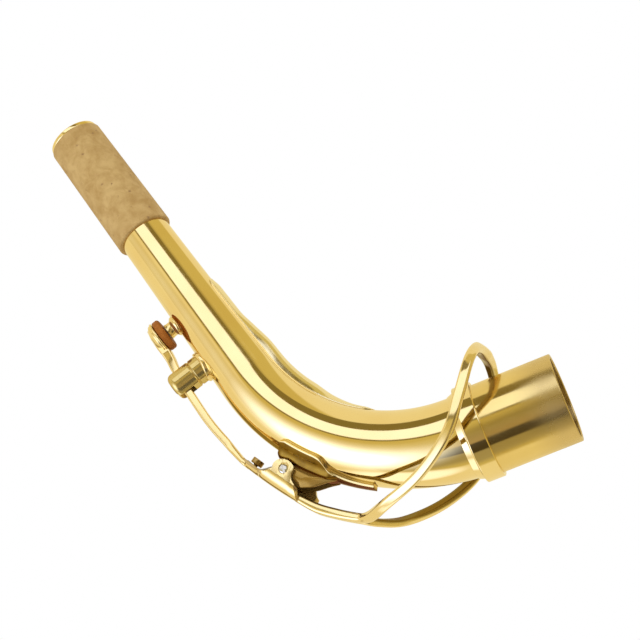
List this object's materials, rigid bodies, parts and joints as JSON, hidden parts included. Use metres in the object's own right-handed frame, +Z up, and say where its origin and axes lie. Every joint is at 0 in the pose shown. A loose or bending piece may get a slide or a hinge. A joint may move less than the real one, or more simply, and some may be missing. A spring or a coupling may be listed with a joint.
{
  "type": "saxophone neck",
  "caption": "Curved, tapering brass neck of an alto saxophone, with corked tip, collared tenon and an octave key that turns on a screw.",
  "frame": {"origin": "centre of the collar's lower stop face, on the tenon's axis", "axes": "+Z up along the tenon's axis into the neck, +X the way the neck bends towards its tip, +Y across the bend"},
  "size_m": [0.1443, 0.0438, 0.1131],
  "materials": {
    "lacquered_brass": "polished, gold lacquer",
    "bare_brass": "polished, unlacquered",
    "steel": "polished",
    "spring_steel": "blued",
    "cork": "sanded cork",
    "leather": "smooth",
    "card": "matt card"
  },
  "bodies": {
    "neck": {"neck_tube": "lacquered_brass", "neck_cork": "cork", "tip_ring": "lacquered_brass", "tenon_sleeve": "bare_brass", "tenon_collar": "lacquered_brass", "neck_brace": "lacquered_brass", "octave_pip": "lacquered_brass", "guide_foot": "lacquered_brass", "guide_post": "lacquered_brass", "saddle_plate": "lacquered_brass", "saddle_lug_near": "lacquered_brass", "saddle_lug_far": "lacquered_brass"},
    "octave_key": {"pivot_screw": "steel", "key_saddle": "lacquered_brass", "key_arm": "lacquered_brass", "pad_cup": "lacquered_brass", "octave_pad": "leather", "pad_backing": "card", "key_ring": "lacquered_brass", "leaf_spring": "spring_steel", "spring_screw": "bare_brass"}
  },
  "joints": [
    {"name": "octave_key_hinge", "type": "hinge", "parent": "neck", "child": "octave_key", "pos_m": [0.00906, 0, 0.05452], "axis": [0, -1, 0], "range_deg": [0, 5], "stiffness_Nm_per_rad": 0.12, "springref_deg": -14.32, "deforming": ["leaf_spring"]}
  ]
}
